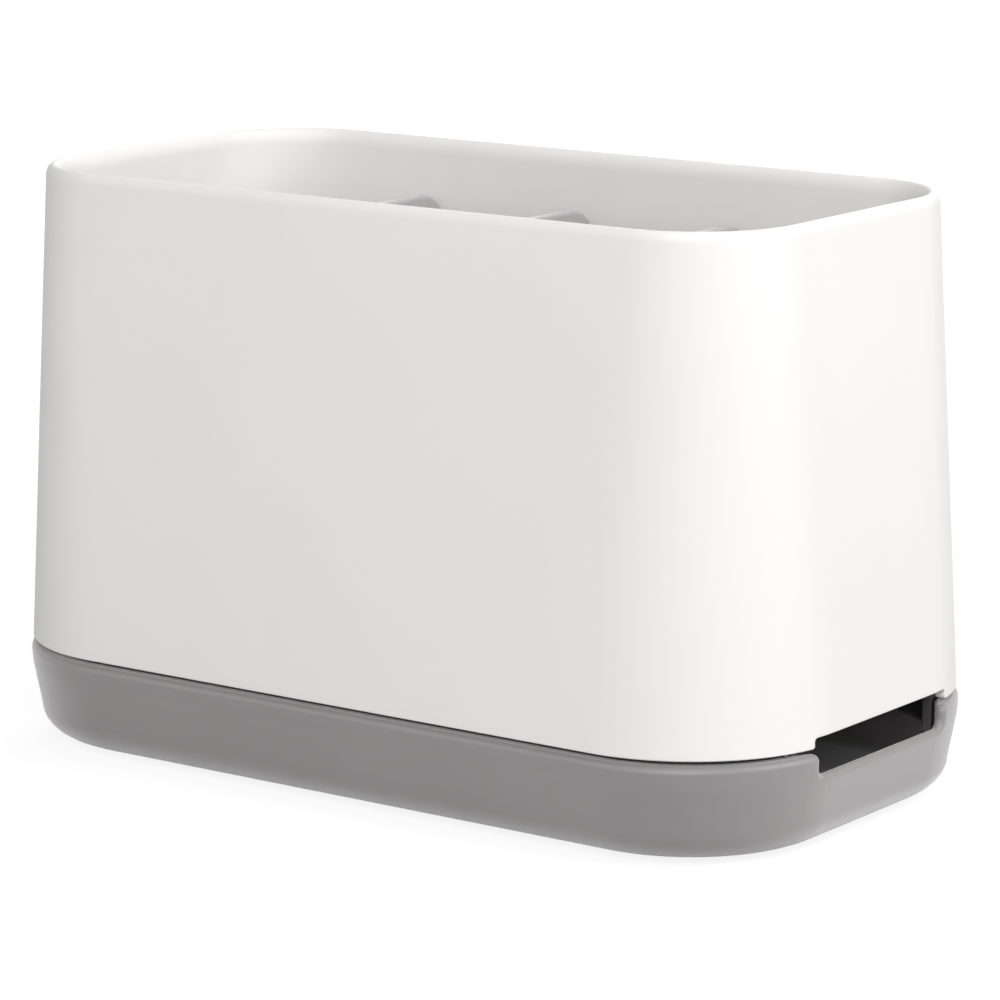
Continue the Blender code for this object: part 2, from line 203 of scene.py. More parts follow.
def wrap_tree():
    """Wraps a wall that lies flat round a rectangle with round corners.

    A flat wall's vertices hold X, the way along the plan from the middle of its +X end; Y, how
    far the vertex is set in from the plan; and Z, its height. Length and Width are half the
    plan's. Tighten is how much the corners lose over Rise, from the height Foot up, beyond what
    the inset takes off them. Place moves the wrapped wall along X.
    """
    names = ("Length", "Width", "Corner", "Tighten", "Foot", "Rise", "Place")
    tree, sizes = start_tree("wrap_round_plan", names)
    position = add_node(tree, "GeometryNodeInputPosition")
    split = add_node(tree, "ShaderNodeSeparateXYZ", feeds={0: position})
    terms = {name.lower(): sizes[name] for name in names}
    terms.update(along=split.outputs["X"], inset=split.outputs["Y"], height=split.outputs["Z"])
    steps = (
        ("end run", "SUBTRACT", "width", "corner"),
        ("side run", "SUBTRACT", "length", "corner"),
        ("bend", "MULTIPLY", "corner", math.pi / 2),
        ("bend end", "ADD", "end run", "bend"),
        ("quarter", "ADD", "bend end", "side run"),
        ("half", "MULTIPLY", "quarter", 2.0),
        ("away", "ABSOLUTE", "along"),
        ("back", "SUBTRACT", "half", "away"),
        ("walk", "MINIMUM", "away", "back"),
        ("climb", "SUBTRACT", "height", "foot"),
        ("share", "DIVIDE", "climb", "rise"),
        ("tightened", "MULTIPLY", "tighten", "share"),
        ("drawn in", "SUBTRACT", "corner", "inset"),
        ("radius", "SUBTRACT", "drawn in", "tightened"),
        ("centre x", "ADD", "side run", "tightened"),
        ("centre y", "ADD", "end run", "tightened"),
        ("past start", "DIVIDE", "walk", "end run"),
        ("on end", "MINIMUM", "past start", 1.0),
        ("end y", "MULTIPLY", "on end", "centre y"),
        ("past end", "SUBTRACT", "walk", "end run"),
        ("bent", "MAXIMUM", "past end", 0.0),
        ("in bend", "MINIMUM", "bent", "bend"),
        ("angle", "DIVIDE", "in bend", "corner"),
        ("cosine", "COSINE", "angle"),
        ("sine", "SINE", "angle"),
        ("past bend", "SUBTRACT", "walk", "bend end"),
        ("on side", "MAXIMUM", "past bend", 0.0),
        ("side share", "DIVIDE", "on side", "side run"),
        ("side x", "MULTIPLY", "side share", "centre x"),
        ("bend x", "MULTIPLY_ADD", "radius", "cosine", "centre x"),
        ("size x", "SUBTRACT", "bend x", "side x"),
        ("size y", "MULTIPLY_ADD", "radius", "sine", "end y"),
        ("toward", "SUBTRACT", "quarter", "away"),
        ("sign x", "SIGN", "toward"),
        ("sign y", "SIGN", "along"),
        ("x", "MULTIPLY_ADD", "size x", "sign x", "place"),
        ("y", "MULTIPLY", "size y", "sign y"),
    )
    for name, operation, *feeds in steps:
        feeds = {socket: terms.get(feed, feed) for socket, feed in enumerate(feeds)}
        settings = {"operation": operation, "label": name}
        terms[name] = add_node(tree, "ShaderNodeMath", settings, feeds)
    wrapped = add_node(tree, "ShaderNodeCombineXYZ",
                       feeds={0: terms["x"], 1: terms["y"], 2: terms["height"]})
    moved = add_node(tree, "GeometryNodeSetPosition",
                     feeds={"Geometry": sizes["Geometry"], "Position": wrapped})
    end_tree(tree, moved, sizes["Material"])
    return tree


def copies_tree():
    """Stands four copies of a shape in a rectangle round the middle."""
    tree, sizes = start_tree("four_copies", ("Length", "Width"))
    corners = add_node(tree, "GeometryNodeMeshGrid",
                       feeds={"Size X": sizes["Length"], "Size Y": sizes["Width"],
                              "Vertices X": 2, "Vertices Y": 2})
    copies = add_node(tree, "GeometryNodeInstanceOnPoints",
                      feeds={"Points": corners, "Instance": sizes["Geometry"]})
    end_tree(tree, copies, sizes["Material"])
    return tree


def evaluated_mesh(piece):
    """The plain mesh that a piece's modifiers give, which are then removed."""
    bpy.context.view_layer.update()
    evaluated = piece.evaluated_get(bpy.context.evaluated_depsgraph_get())
    mesh = bpy.data.meshes.new_from_object(evaluated)
    piece.modifiers.clear()
    return mesh


def grow(name, flat, tree, material, sizes, tools=(), edge_round=0.0):
    """Run a tree on a mesh, cut or join and round what it makes, and keep it as a plain piece.

    A tool is a Boolean operation and the object that it is done with, which is used up. The
    slivers that a cut leaves get sharp edges, so that they don't bend the shading round them.
    """
    piece = bpy.data.objects.new(name, flat)
    bpy.context.scene.collection.objects.link(piece)
    modifier = piece.modifiers.new("shape", "NODES")
    modifier.node_group = tree
    values = dict(sizes, Material=material)
    for item in tree.interface.items_tree:
        if item.in_out == "INPUT" and item.name in values:
            modifier[item.identifier] = values[item.name]
    for operation, tool in tools:
        change = piece.modifiers.new(tool.name, "BOOLEAN")
        change.operation = operation
        change.object = tool
        change.solver = "EXACT"
    if edge_round:
        bevel = piece.modifiers.new("round_edges", "BEVEL")
        bevel.width = edge_round
        bevel.segments = SMALL_ROUND_STEPS
        bevel.limit_method = "ANGLE"
        bevel.angle_limit = ROUNDED_ANGLE
    piece.data = evaluated_mesh(piece)
    bm = bmesh.new()
    bm.from_mesh(piece.data)
    bmesh.ops.remove_doubles(bm, verts=bm.verts, dist=WELD)
    bmesh.ops.dissolve_degenerate(bm, edges=bm.edges, dist=WELD)
    bmesh.ops.recalc_face_normals(bm, faces=bm.faces)
    slivers = [face for face in bm.faces if face.calc_area() < SLIVER * face.calc_perimeter()]
    for face in bm.faces:
        face.smooth = True
    for edge in bm.edges:
        edge.smooth = edge.calc_face_angle(0.0) < SMOOTH_ANGLE
    for edge in {edge for face in slivers for edge in face.edges}:
        edge.smooth = False
    bm.to_mesh(piece.data)
    bm.free()
    weights = piece.modifiers.new("keep_flats_flat", "WEIGHTED_NORMAL")
    weights.keep_sharp = True
    piece.data = evaluated_mesh(piece)
    for _, tool in tools:
        bpy.data.objects.remove(tool, do_unlink=True)
    return piece


def straight(start, end, turn, steps):
    """Points along a straight stretch of an edge, each with the direction into the material."""
    shares = [step / steps for step in range(1, steps + 1)]
    return [(start[0] + (end[0] - start[0]) * share, start[1] + (end[1] - start[1]) * share, *turn)
            for share in shares]


def bend(centre, radius, start, end, side):
    """Points round a corner of an edge; side is 1 where the material lies outside the round."""
    points = []
    for step in range(1, NOTCH_CORNER_STEPS + 1):
        angle = math.radians(start + (end - start) * step / NOTCH_CORNER_STEPS)
        turn = (math.cos(angle), math.sin(angle))
        points.append((centre[0] + radius * turn[0], centre[1] + radius * turn[1],
                       side * turn[0], side * turn[1]))
    return points


def notch_columns(half_width, depth, inside, outside, edge_round):
    """A wall's columns from the middle of an end out past its notch.

    A column is (along, into, turn along, turn into, plain): where it starts on the notched
    edge, which way the material lies there, and its place along the wall away from the edge,
    where the columns beside the notch have fanned out.
    """
    fan = NOTCH_FAN * depth
    past = half_width + NOTCH_REACH
    side_top = half_width + edge_round - fan / 3
    side_foot = half_width + edge_round + fan / 2
    plain_stops = (half_width - inside - fan / 3, side_top, side_foot,
                   max(half_width + outside, side_foot) + fan / 4, past)
    stretches = (
        straight((0, depth), (half_width - inside, depth), (0, 1), NOTCH_SIDE_STEPS),
        bend((half_width - inside, depth - inside), inside, 90, 0, 1),
        straight((half_width, depth - inside), (half_width, outside), (1, 0), SMALL_ROUND_STEPS),
        bend((half_width + outside, outside), outside, 180, 270, -1),
        straight((half_width + outside, 0), (past, 0), (0, 1), NOTCH_SIDE_STEPS),
    )
    columns = [(0, depth, 0, 1, 0)]
    plain = 0
    for stretch, stop in zip(stretches, plain_stops):
        for place, point in enumerate(stretch, 1):
            columns.append((*point, plain + (stop - plain) * place / len(stretch)))
        plain = stop
    return columns


def plan_columns(plan, start=((0, 0, 0, 1, 0),)):
    """A wall's columns all the way round its plan, from those in the middle of one end."""
    end_run = plan["Width"] - plan["Corner"]
    bend_end = end_run + plan["Corner"] * math.pi / 2
    quarter_end = bend_end + plan["Length"] - plan["Corner"]
    quarter = list(start)
    for stop, steps in ((end_run, END_STEPS), (bend_end, BEND_STEPS), (quarter_end, SIDE_STEPS)):
        begin = quarter[-1][4]
        if stop > begin:
            places = [begin + (stop - begin) * step / steps for step in range(1, steps + 1)]
            quarter += [(place, 0, 0, 1, place) for place in places]
    half = [(-along, into, -turn, inward, -plain)
            for along, into, turn, inward, plain in quarter[:0:-1]] + quarter[:-1]
    lap = 2 * quarter_end
    return half + [(along + lap, into, turn, inward, plain + lap)
                   for along, into, turn, inward, plain in half]


def plan_lap(plan):
    """How far it is once round a plan."""
    return 4 * (plan["Width"] + plan["Length"] + plan["Corner"] * (math.pi / 2 - 2))


def flat_wall(name, plan, columns, rows, closed):
    """A wall laid flat: rows are functions of a column that give (along, inset, height).

    A closed one's last row joins its first. An open one gets a face over each of the two.
    """
    lap = plan_lap(plan)
    points = []
    for row in rows:
        for column in columns:
            along, inset, height = row(column)
            points.append((along - lap if along > lap / 2 else along, inset, height))
    across = len(columns)
    faces = []
    for low in range(len(rows) if closed else len(rows) - 1):
        high = (low + 1) % len(rows)
        for left in range(across):
            right = (left + 1) % across
            faces.append((low * across + left, low * across + right,
                          high * across + right, high * across + left))
    if not closed:
        faces.append(tuple(reversed(range(across))))
        faces.append(tuple(range((len(rows) - 1) * across, len(rows) * across)))
    mesh = bpy.data.meshes.new(name)
    mesh.from_pydata(points, [], faces)
    return mesh


def edge_row(reach, edge, way, inset):
    """A row that keeps reach in from the notched edge; inset is a function of the height."""
    def row(column):
        height = edge + way * (column[1] + reach * column[3])
        return column[0] + reach * column[2], inset(height), height
    return row


def blend_row(reach, depth, share, edge, way, inset):
    """A row share of the way from the notched edge's round to where the wall runs plain."""
    def row(column):
        along = column[0] + reach * column[2]
        into = column[1] + reach * column[3]
        height = edge + way * (into + (depth - into) * share)
        return along + (column[4] - along) * share, inset(height), height
    return row


def plain_row(inset, height):
    """A level row."""
    return lambda column: (column[4], inset, height)


def quarter_round(steps=ROUND_STEPS):
    """Pairs of shares along a quarter round: the first starts slowly, the second fast."""
    angles = [math.pi / 2 * step / steps for step in range(steps + 1)]
    return [(1 - math.cos(angle), math.sin(angle)) for angle in angles]


def tray_outside(height):
    """How far the tray's outer face is set in at a height."""
    crease = tray_high.z - TRAY_BAND_HEIGHT
    straight_top = tray_rim - TRAY_RIM_ROUND
    foot = tray_low.z + TRAY_UNDER_ROUND_HIGH
    if height > crease:
        return TRAY_BAND_LEAN * max(straight_top - height, 0) / (straight_top - crease)
    return TRAY_BAND_LEAN + (TRAY_FOOT_LEAN - TRAY_BAND_LEAN) * (crease - height) / (crease - foot)


def tray_inside(height):
    """How far the tray's inner face is set in, the same at every height down to the ledge."""
    return TRAY_WALL


def thinned(row):
    """A row of the tray's inner face, moved out beside the notches, where the wall is thinner."""
    half_lap = plan_lap(tray_plan) / 2

    def moved(column):
        along, inset, height = row(column)
        away = abs((along + half_lap / 2) % half_lap - half_lap / 2)
        share = min(max((TRAY_PLAIN_FROM - away) / (TRAY_PLAIN_FROM - TRAY_THIN_TO), 0.0), 1.0)
        return along, inset - (TRAY_WALL - TRAY_NOTCH_WALL) * share ** 2 * (3 - 2 * share), height
    return moved


def tray_rows():
    """The tray's wall, from the edge of its flat underside round to the edge of its floor.

    The levels are depths under the rim, close together where the wall bends at its band's crease.
    """
    crease_depth = TRAY_BAND_HEIGHT - STUD_HEIGHT
    ledge = tray_high.z - LEDGE_DROP
    floor_face = tray_low.z + TRAY_FLOOR
    under_top = tray_low.z + TRAY_UNDER_ROUND_HIGH
    blend_height = tray_rim - TRAY_BLEND_DEPTH
    lower = TRAY_WALL + LEDGE_WIDTH
    rows = []
    for slow, fast in quarter_round():
        rows.append(plain_row(TRAY_FOOT_LEAN + TRAY_UNDER_ROUND_WIDE * (1 - fast),
                              tray_low.z + TRAY_UNDER_ROUND_HIGH * slow))
    for height in ((under_top + blend_height) / 2, blend_height):
        rows.append(plain_row(tray_outside(height), height))
    for depth in (*LEVELS_UNDER_CREASE, crease_depth, *LEVELS_OVER_CREASE, TRAY_RIM_ROUND):
        share = (depth - TRAY_RIM_ROUND) / (TRAY_BLEND_DEPTH - TRAY_RIM_ROUND)
        rows.append(blend_row(TRAY_RIM_ROUND, TRAY_BLEND_DEPTH, share, tray_rim, -1, tray_outside))
    for slow, fast in quarter_round()[1:]:
        deep = TRAY_RIM_ROUND * slow
        rows.append(edge_row(TRAY_RIM_ROUND * (1 - fast), tray_rim, -1,
                             lambda height, deep=deep: tray_outside(height) + deep))
    for slow, fast in quarter_round(SMALL_ROUND_STEPS):
        back = TRAY_RIM_INSIDE_ROUND * (1 - fast)
        rows.append(thinned(edge_row(TRAY_RIM_INSIDE_ROUND * slow, tray_rim, -1,
                                     lambda height, back=back: TRAY_WALL - back)))
    for share in THINNED_SHARES:
        rows.append(thinned(blend_row(TRAY_RIM_INSIDE_ROUND, TRAY_BLEND_DEPTH, share, tray_rim, -1,
                                      tray_inside)))
    rows.append(blend_row(TRAY_RIM_INSIDE_ROUND, TRAY_BLEND_DEPTH, 1.0, tray_rim, -1, tray_inside))
    rows.append(plain_row(TRAY_WALL, ledge))
    for slow, fast in quarter_round(SMALL_ROUND_STEPS):
        rows.append(plain_row(lower - LEDGE_ROUND * (1 - fast), ledge - LEDGE_ROUND * slow))
    for slow, fast in quarter_round():
        rows.append(plain_row(lower + TRAY_INSIDE_ROUND_WIDE * slow,
                              floor_face + TRAY_INSIDE_ROUND_HIGH * (1 - fast)))
    return rows


def turned(name, profile, sides=DISC_SIDES):
    """A solid turned round Z from a profile of (radius, height) points, bottom to top."""
    bm = bmesh.new()
    angles = [2 * math.pi * side / sides for side in range(sides)]
    rings = [[bm.verts.new((radius * math.cos(angle), radius * math.sin(angle), height))
              for angle in angles] for radius, height in profile]
    bm.faces.new(reversed(rings[0]))
    bm.faces.new(rings[-1])
    for lower, upper in zip(rings, rings[1:]):
        for side in range(sides):
            bm.faces.new((lower[side - 1], lower[side], upper[side], upper[side - 1]))
    mesh = bpy.data.meshes.new(name)
    bm.to_mesh(mesh)
    bm.free()
    return mesh


grey_polypropylene = moulded_plastic("moulded_grey_polypropylene", GREY_LIGHT, GREY_DEEP,
                                     GREY_ROUGHNESS, GREY_SHEEN)
wrap_round_plan = wrap_tree()
four_copies = copies_tree()
pocket_radius = foot_radius + POCKET_CLEARANCE
pocket_profile = [(pocket_radius, tray_low.z + side * POCKET_DEPTH) for side in (-1, 1)]
pockets = grow("foot_pockets", turned("pocket", pocket_profile), four_copies, grey_polypropylene,
               foot_spread)
stud_profile = [(STUD_RADIUS, tray_rim + side * STUD_HEIGHT) for side in (-1, 1)]
stud_arc = TRAY_CORNER - STUD_INSET
stud_spread = {
    "Length": 2 * (TRAY_HALF_LENGTH - TRAY_CORNER + stud_arc * math.cos(STUD_TURN)),
    "Width": 2 * (tray_high.y - TRAY_CORNER + stud_arc * math.sin(STUD_TURN)),
}
studs = grow("studs", turned("stud", stud_profile, STUD_SIDES), four_copies, grey_polypropylene,
             stud_spread)
tray_notch = notch_columns(TRAY_NOTCH_HALF_WIDTH, TRAY_NOTCH_DEPTH, TRAY_NOTCH_INSIDE_CORNER,
                           TRAY_NOTCH_OUTSIDE_CORNER, TRAY_RIM_ROUND)
tray_columns = plan_columns(tray_plan, tray_notch)
tray_wall = flat_wall("tray_wall", tray_plan, tray_columns, tray_rows(), closed=False)
upright = {"Tighten": 0.0, "Foot": 0.0, "Rise": 1.0, "Place": 0.0}
tray = grow("tray_moulding", tray_wall, wrap_round_plan, grey_polypropylene,
            {**tray_plan, **upright}, [("DIFFERENCE", pockets), ("UNION", studs)])
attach(tray, "base")
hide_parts("drip_tray")


# Feet
# Four discs of soft grey rubber, moulded with a rounded lower edge and pressed into the
# pockets under the tray, so that it doesn't slide on a wet washstand.
FOOT_EDGE = 0.4 * MM
RUBBER_LIGHT = "716E6F"
RUBBER_DEEP = "6A6768"
RUBBER_IOR = 1.52
RUBBER_SMOOTHEST = 0.76
RUBBER_ROUGHEST = 0.9
MOTTLE_SIZE = 3.0 * MM
PIT_SIZE = 0.5 * MM
PIT_DEPTH = 0.03 * MM
PIT_BUMP = 0.6


def moulded_rubber(name, light, deep):
    """Soft rubber, matt and a little mottled, with a dusting of fine pits about 0.5 mm apart."""
    material = bpy.data.materials.new(name)
    material.use_nodes = True
    tree = material.node_tree
    shader = tree.nodes["Principled BSDF"]
    shader.inputs["IOR"].default_value = RUBBER_IOR
    place = add_node(tree, "ShaderNodeTexCoord").outputs["Object"]
    mottle = add_node(tree, "ShaderNodeTexNoise", feeds={"Vector": place, "Scale": 1 / MOTTLE_SIZE})
    colours = add_node(tree, "ShaderNodeValToRGB", feeds={"Fac": mottle})
    for stop, code in zip(colours.color_ramp.elements, (deep, light)):
        stop.color = srgb(code)
    rub = add_node(tree, "ShaderNodeMapRange",
                   feeds={"Value": mottle, "To Min": RUBBER_SMOOTHEST, "To Max": RUBBER_ROUGHEST})
    pits = add_node(tree, "ShaderNodeTexNoise", feeds={"Vector": place, "Scale": 1 / PIT_SIZE})
    pitted = add_node(tree, "ShaderNodeBump",
                      feeds={"Height": pits, "Strength": PIT_BUMP, "Distance": PIT_DEPTH})
    tree.links.new(colours.outputs["Color"], shader.inputs["Base Color"])
    tree.links.new(rub.outputs["Result"], shader.inputs["Roughness"])
    tree.links.new(pitted.outputs["Normal"], shader.inputs["Normal"])
    return material


grey_rubber = moulded_rubber("moulded_grey_rubber", RUBBER_LIGHT, RUBBER_DEEP)
foot_profile = [(foot_radius - FOOT_EDGE * (1 - fast), foot_low.z + FOOT_EDGE * slow)
                for slow, fast in quarter_round(SMALL_ROUND_STEPS)]
foot_profile.append((foot_radius, foot_high.z))
feet = grow("rubber_feet", turned("foot", foot_profile), four_copies, grey_rubber, foot_spread)
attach(feet, "base")
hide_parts("foot_front_left", "foot_front_right", "foot_rear_left", "foot_rear_right")


# Floor insert
# The vented floor that stands on the tray's ledge, moulded in polypropylene and lifted out to
# be rinsed. Its dark grey with no sheen is painted shade: it darkens the cavity seen through the
# notches and the line under the sleeve. Its skirt has a window towards the tray's notch at each
# end, a low curb runs round the floor, and three sockets moulded on it hold the dividers.
# Dark grey with no sheen: painted shade for the dark inside of the tray.
PAINTED_SHADE_GREY_LIGHT = "5E5B5C"
PAINTED_SHADE_GREY_DEEP = "5A5758"
PAINTED_SHADE_SHEEN = 0.0
CURB_WALL = 1.8 * MM
CURB_HEIGHT = 3.0 * MM
CURB_ROUND = 0.5 * MM
SKIRT_EDGE_ROUND = 0.3 * MM
WINDOW_HALF_WIDTH = 24.6 * MM
WINDOW_HEIGHT = 12.2 * MM
WINDOW_INSIDE_CORNER = 1.5 * MM
WINDOW_OUTSIDE_CORNER = 1.0 * MM
WINDOW_BLEND_HEIGHT = 15.0 * MM
FLOOR_THICKNESS = 2.0 * MM
SOCKET_WALL = 2.0 * MM
SOCKET_HEIGHT = 9.0 * MM
SOCKET_CORNER = 2.3 * MM
SOCKET_ROUND = 0.4 * MM
SOCKET_CLEARANCE = 0.3 * MM
SLOT_WIDTH = 3.0 * MM
SLOT_LENGTH = 26.0 * MM
SLOT_LEAST_LENGTH = 6.0 * MM
SLOT_PITCH = 7.0 * MM
SLOT_ROW_GAP = 8.0 * MM
SLOT_MARGIN = 2.5 * MM
SLOT_SIDES = 24
QUARTERS = (0.25, 0.5, 0.75, 1.0)

insert_low, insert_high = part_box("floor_insert")
insert_inset = tray_high.y - insert_high.y
floor_top = insert_high.z - SOCKET_HEIGHT
floor_underside = floor_top - FLOOR_THICKNESS
divider_boxes = {side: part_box(f"divider_{side}") for side in ("left", "middle", "right")}
divider_places = [(low.x + high.x) / 2 for low, high in divider_boxes.values()]
_, middle_high = divider_boxes["middle"]
socket_plan = {
    "Length": middle_high.x + SOCKET_CLEARANCE + SOCKET_WALL,
    "Width": middle_high.y + SOCKET_CLEARANCE + SOCKET_WALL,
    "Corner": SOCKET_CORNER,
}


def insert_rows():
    """The insert from the edge of its underside, down its skirt and up round the curb."""
    inner = insert_inset + CURB_WALL
    foot = insert_low.z
    curb_top = floor_top + CURB_HEIGHT
    high = floor_underside - foot
    rows = []
    for share in reversed(QUARTERS):
        rows.append(blend_row(SKIRT_EDGE_ROUND, high, share, foot, 1, lambda height: inner))
    for slow, fast in quarter_round(SMALL_ROUND_STEPS):
        back = SKIRT_EDGE_ROUND * slow
        rows.append(edge_row(SKIRT_EDGE_ROUND * (1 - fast), foot, 1,
                             lambda height, back=back: inner - back))
    for slow, fast in quarter_round(SMALL_ROUND_STEPS):
        deep = SKIRT_EDGE_ROUND * (1 - fast)
        rows.append(edge_row(SKIRT_EDGE_ROUND * slow, foot, 1,
                             lambda height, deep=deep: insert_inset + deep))
    for share in QUARTERS:
        rows.append(blend_row(SKIRT_EDGE_ROUND, WINDOW_BLEND_HEIGHT, share, foot, 1,
                              lambda height: insert_inset))
    for slow, fast in quarter_round(SMALL_ROUND_STEPS):
        rows.append(plain_row(insert_inset + CURB_ROUND * slow,
                              curb_top - CURB_ROUND * (1 - fast)))
    for slow, fast in quarter_round(SMALL_ROUND_STEPS):
        rows.append(plain_row(inner - CURB_ROUND * (1 - fast), curb_top - CURB_ROUND * slow))
    for slow, fast in quarter_round(SMALL_ROUND_STEPS):
        rows.append(plain_row(inner + CURB_ROUND * slow, floor_top + CURB_ROUND * (1 - fast)))
    return rows


def socket_rows():
    """A socket's wall, up its outer face and down inside, from half way down in the floor."""
    foot = floor_top - FLOOR_THICKNESS / 2
    top = insert_high.z
    rows = [plain_row(0.0, foot)]
    for slow, fast in quarter_round(SMALL_ROUND_STEPS):
        rows.append(plain_row(SOCKET_ROUND * slow, top - SOCKET_ROUND * (1 - fast)))
    for slow, fast in quarter_round(SMALL_ROUND_STEPS):
        rows.append(plain_row(SOCKET_WALL - SOCKET_ROUND * (1 - fast), top - SOCKET_ROUND * slow))
    rows.append(plain_row(SOCKET_WALL, foot))
    return rows


def slot_reach(place):
    """How far from the middle line a slot may reach before it meets the curb's margin."""
    inset = insert_inset + CURB_WALL + SLOT_MARGIN
    corner = TRAY_CORNER - inset
    past = max(abs(place) + SLOT_WIDTH / 2 - (TRAY_HALF_LENGTH - TRAY_CORNER), 0)
    edge = tray_high.y - TRAY_CORNER + math.sqrt(max(corner ** 2 - past ** 2, 0))
    return min(edge, SLOT_ROW_GAP / 2 + SLOT_LENGTH)


def slot_points():
    """The middle of each drain slot, in two rows, with half its straight run as Z."""
    curb = TRAY_HALF_LENGTH - insert_inset - CURB_WALL
    walls = [-curb]
    for place in divider_places:
        walls += [place - socket_plan["Length"], place + socket_plan["Length"]]
    walls.append(curb)
    near = SLOT_ROW_GAP / 2
    points = []
    for low, high in zip(walls[::2], walls[1::2]):
        room = high - low - 2 * SLOT_MARGIN - SLOT_WIDTH
        last = math.floor(room / SLOT_PITCH)
        for step in range(last + 1):
            place = (low + high) / 2 + SLOT_PITCH * (step - last / 2)
            far = slot_reach(place)
            if far - near > SLOT_LEAST_LENGTH:
                run = (far - near - SLOT_WIDTH) / 2
                points += [(place, side * (near + far) / 2, run) for side in (-1, 1)]
    return points


def slots_tree():
    """An upright slot with round ends at each point, its straight run twice the point's Z."""
    tree, sizes = start_tree("drain_slots", ("Radius", "Depth", "Middle"))
    position = add_node(tree, "GeometryNodeInputPosition")
    split = add_node(tree, "ShaderNodeSeparateXYZ", feeds={0: position})
    kept = add_node(tree, "GeometryNodeStoreNamedAttribute",
                    feeds={"Geometry": sizes["Geometry"], "Name": "run",
                           "Value": split.outputs["Z"]})
    level = add_node(tree, "ShaderNodeCombineXYZ",
                     feeds={0: split.outputs["X"], 1: split.outputs["Y"], 2: sizes["Middle"]})
    levelled = add_node(tree, "GeometryNodeSetPosition",
                        feeds={"Geometry": kept, "Position": level})
    drum = add_node(tree, "GeometryNodeMeshCylinder",
                    feeds={"Vertices": SLOT_SIDES, "Radius": sizes["Radius"],
                           "Depth": sizes["Depth"]})
    turned_drum = add_node(tree, "GeometryNodeTransform",
                           feeds={"Geometry": drum, "Rotation": (0.0, 0.0, math.pi / SLOT_SIDES)})
    side = add_node(tree, "ShaderNodeMath", {"operation": "SIGN"}, {0: split.outputs["Y"]})
    sided = add_node(tree, "GeometryNodeStoreNamedAttribute",
                     feeds={"Geometry": turned_drum, "Name": "side", "Value": side})
    copies = add_node(tree, "GeometryNodeInstanceOnPoints",
                      feeds={"Points": levelled, "Instance": sided})
    real = add_node(tree, "GeometryNodeRealizeInstances", feeds={0: copies})
    number = {"data_type": "FLOAT"}
    run = add_node(tree, "GeometryNodeInputNamedAttribute", number, {"Name": "run"})
    end = add_node(tree, "GeometryNodeInputNamedAttribute", number, {"Name": "side"})
    stretch = add_node(tree, "ShaderNodeMath", {"operation": "MULTIPLY"}, {0: run, 1: end})
    offset = add_node(tree, "ShaderNodeCombineXYZ", feeds={1: stretch})
    stretched = add_node(tree, "GeometryNodeSetPosition",
                         feeds={"Geometry": real, "Offset": offset})
    end_tree(tree, stretched, sizes["Material"])
    return tree


# The insert's material: a dark grey that paints in the shade behind the notches and under the
# sleeve.
shade_painted_polypropylene = moulded_plastic("grey_polypropylene_darkened_as_painted_shade", PAINTED_SHADE_GREY_LIGHT,
                                     PAINTED_SHADE_GREY_DEEP, GREY_ROUGHNESS, PAINTED_SHADE_SHEEN)
slot_mesh = bpy.data.meshes.new("slot_points")
slot_mesh.from_pydata(slot_points(), [], [])
slot_sizes = {
    "Radius": SLOT_WIDTH / 2,
    "Depth": 2 * FLOOR_THICKNESS,
    "Middle": (floor_top + floor_underside) / 2,
}
slots = grow("cut_drain_slots", slot_mesh, slots_tree(), shade_painted_polypropylene, slot_sizes)
insert_tools = [("DIFFERENCE", slots)]
socket_columns = plan_columns(socket_plan)
for place in divider_places:
    socket_wall = flat_wall("socket_wall", socket_plan, socket_columns, socket_rows(), closed=True)
    socket = grow("join_socket", socket_wall, wrap_round_plan, shade_painted_polypropylene,
                  {**socket_plan, **upright, "Place": place})
    insert_tools.append(("UNION", socket))
window = notch_columns(WINDOW_HALF_WIDTH, WINDOW_HEIGHT, WINDOW_INSIDE_CORNER,
                       WINDOW_OUTSIDE_CORNER, SKIRT_EDGE_ROUND)
insert_columns = plan_columns(tray_plan, window)
insert_wall = flat_wall("insert_wall", tray_plan, insert_columns, insert_rows(), closed=False)
insert = grow("insert_moulding", insert_wall, wrap_round_plan, shade_painted_polypropylene,
              {**tray_plan, **upright}, insert_tools)
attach(insert, "insert")
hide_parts("floor_insert")


# Dividers
# Three upright panels moulded in grey polypropylene, with round top corners and softened
# edges. Their grey is paler than the tray's: painted light for the light they catch inside the
# sleeve. Each pushes down into its socket and lifts out by hand.
DIVIDER_TOP_CORNER = 7.2 * MM
DIVIDER_FOOT_CORNER = 1.5 * MM
DIVIDER_EDGE = 0.8 * MM
DIVIDER_CORNER_STEPS = 14
# A paler grey as painted light; the lower sheen keeps their top edges from shining.
LIGHTENED_GREY_LIGHT = "AFACAD"
LIGHTENED_GREY_DEEP = "ABA8A9"
LIGHTENED_GREY_SHEEN = 0.2


